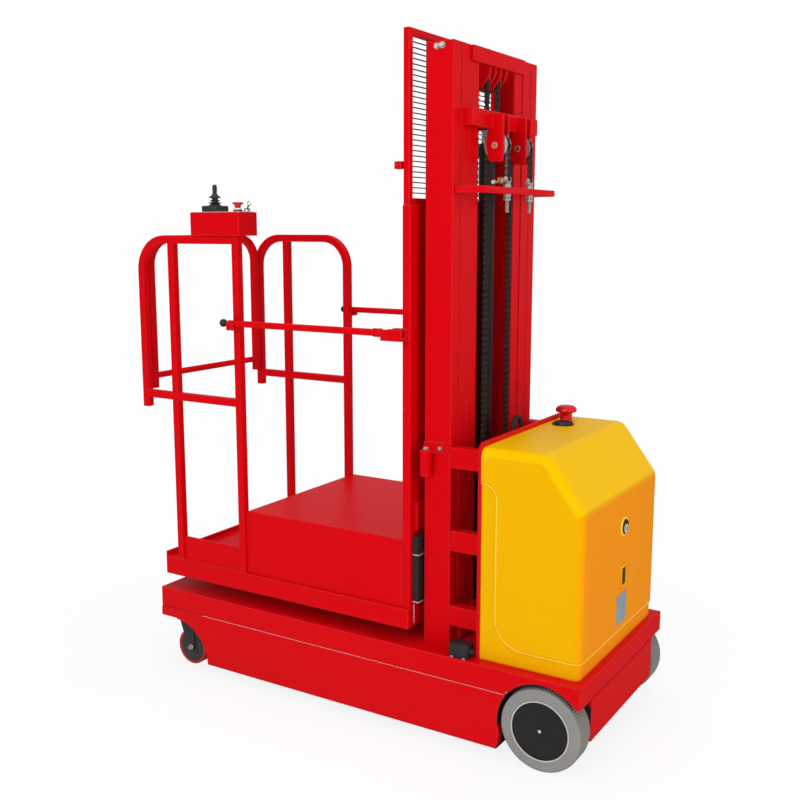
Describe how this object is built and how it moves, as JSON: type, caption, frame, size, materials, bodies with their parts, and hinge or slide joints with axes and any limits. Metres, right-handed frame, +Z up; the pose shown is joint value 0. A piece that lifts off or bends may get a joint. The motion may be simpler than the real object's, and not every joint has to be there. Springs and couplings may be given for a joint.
{
  "type": "order picker truck",
  "caption": "Self-propelled order picker with a three-section chain-lifted mast, guarded standing platform, side bars and covered power unit",
  "frame": {"origin": "on the floor, under the middle of the overall length and width", "axes": "+X forward (platform end), +Y left, +Z up"},
  "size_m": [1.6734, 0.717, 2.092],
  "materials": {
    "red_paint": "glossy powder coat",
    "power_yellow": "moulded, semi-gloss",
    "tyre_rubber": "grey non-marking rubber",
    "hub_black": "satin",
    "caster_black": "satin",
    "caster_core": "satin",
    "caster_tread": "polyurethane",
    "chain_steel": "oiled",
    "zinc_steel": "bright zinc",
    "sheave_white": "turned",
    "cylinder_black": "gloss",
    "rod_chrome": "polished",
    "black_plastic": "satin",
    "battery_case": "matt",
    "stop_red": "gloss",
    "pad_rubber": "matt",
    "mesh_dark": "satin"
  },
  "bodies": {
    "chassis": {"chassis_frame": "red_paint", "side_skirts": "red_paint", "drive_units": "cylinder_black", "outer_mast": "red_paint", "chain_shelf": "red_paint", "shelf_anchors": "zinc_steel", "chain_low_rear": "chain_steel", "lift_cylinder": "cylinder_black", "bulkhead": "red_paint", "tie_bars": "red_paint", "power_cover": "power_yellow", "battery_block": "battery_case", "cover_stop": "stop_red", "cover_cap": "black_plastic", "charge_socket": "black_plastic", "cover_lock": "zinc_steel", "limit_switch": "black_plastic"},
    "middle_mast": {"middle_rails": "red_paint", "middle_crossheads": "red_paint", "middle_sheaves": "sheave_white", "chain_turn_low": "chain_steel", "chain_low_front": "chain_steel", "chain_high_rear": "chain_steel", "push_anchors": "zinc_steel", "lift_rod": "rod_chrome"},
    "inner_mast": {"inner_rails": "red_paint", "inner_crossheads": "red_paint", "inner_sheaves": "sheave_white", "chain_turn_high": "chain_steel", "chain_high_front": "chain_steel"},
    "platform": {"carriage": "red_paint", "platform_base": "red_paint", "deck_box": "red_paint", "back_frame": "red_paint", "mesh_frame": "red_paint", "mesh_wires": "mesh_dark", "guard_left": "red_paint", "guard_right": "red_paint", "guard_front": "red_paint", "rear_pad": "pad_rubber", "console": "red_paint", "joystick": "black_plastic", "console_stop": "stop_red", "key_switch": "zinc_steel"},
    "gate_left": {"gate_bar_left": "red_paint", "gate_knob_left": "black_plastic"},
    "gate_right": {"gate_bar_right": "red_paint", "gate_knob_right": "black_plastic"},
    "drive_wheel_left": {"tyre_left": "tyre_rubber", "wheel_hub_left": "hub_black"},
    "caster_left": {"caster_fork_left": "caster_black"},
    "caster_roll_left": {"caster_core_left": "caster_core", "caster_tread_left": "caster_tread"},
    "drive_wheel_right": {"tyre_right": "tyre_rubber", "wheel_hub_right": "hub_black"},
    "caster_right": {"caster_fork_right": "caster_black"},
    "caster_roll_right": {"caster_core_right": "caster_core", "caster_tread_right": "caster_tread"}
  },
  "joints": [
    {"name": "mast_lift", "type": "slide", "parent": "chassis", "child": "middle_mast", "axis": [0, 0, 1], "range_m": [0, 0.8], "deforming": ["chain_low_rear"]},
    {"name": "inner_lift", "type": "slide", "parent": "middle_mast", "child": "inner_mast", "axis": [0, 0, 1], "range_m": [0, 0.8], "deforming": ["chain_low_front", "chain_high_rear"]},
    {"name": "platform_lift", "type": "slide", "parent": "inner_mast", "child": "platform", "axis": [0, 0, 1], "range_m": [0, 0.8], "deforming": ["chain_high_front"]},
    {"name": "gate_left_lift", "type": "hinge", "parent": "platform", "child": "gate_left", "pos_m": [-0.22675, 0.343, 1.232], "axis": [0, -1, 0], "range_deg": [0, 90]},
    {"name": "drive_left_spin", "type": "hinge", "parent": "chassis", "child": "drive_wheel_left", "pos_m": [-0.71175, 0.3156, 0.125], "axis": [0, 1, 0], "continuous": true},
    {"name": "caster_left_swivel", "type": "hinge", "parent": "chassis", "child": "caster_left", "pos_m": [0.67825, 0.3, 0.18], "axis": [0, 0, 1], "continuous": true},
    {"name": "caster_left_roll", "type": "hinge", "parent": "caster_left", "child": "caster_roll_left", "pos_m": [0.65125, 0.3, 0.0625], "axis": [0, 1, 0], "continuous": true},
    {"name": "gate_right_lift", "type": "hinge", "parent": "platform", "child": "gate_right", "pos_m": [-0.22675, -0.343, 1.232], "axis": [0, -1, 0], "range_deg": [0, 90]},
    {"name": "drive_right_spin", "type": "hinge", "parent": "chassis", "child": "drive_wheel_right", "pos_m": [-0.71175, -0.3156, 0.125], "axis": [0, 1, 0], "continuous": true},
    {"name": "caster_right_swivel", "type": "hinge", "parent": "chassis", "child": "caster_right", "pos_m": [0.67825, -0.3, 0.18], "axis": [0, 0, 1], "continuous": true},
    {"name": "caster_right_roll", "type": "hinge", "parent": "caster_right", "child": "caster_roll_right", "pos_m": [0.65125, -0.3, 0.0625], "axis": [0, 1, 0], "continuous": true}
  ],
  "couplings": [
    {"joint": "inner_lift", "follows": "mast_lift", "ratio": 1},
    {"joint": "platform_lift", "follows": "mast_lift", "ratio": 1}
  ]
}
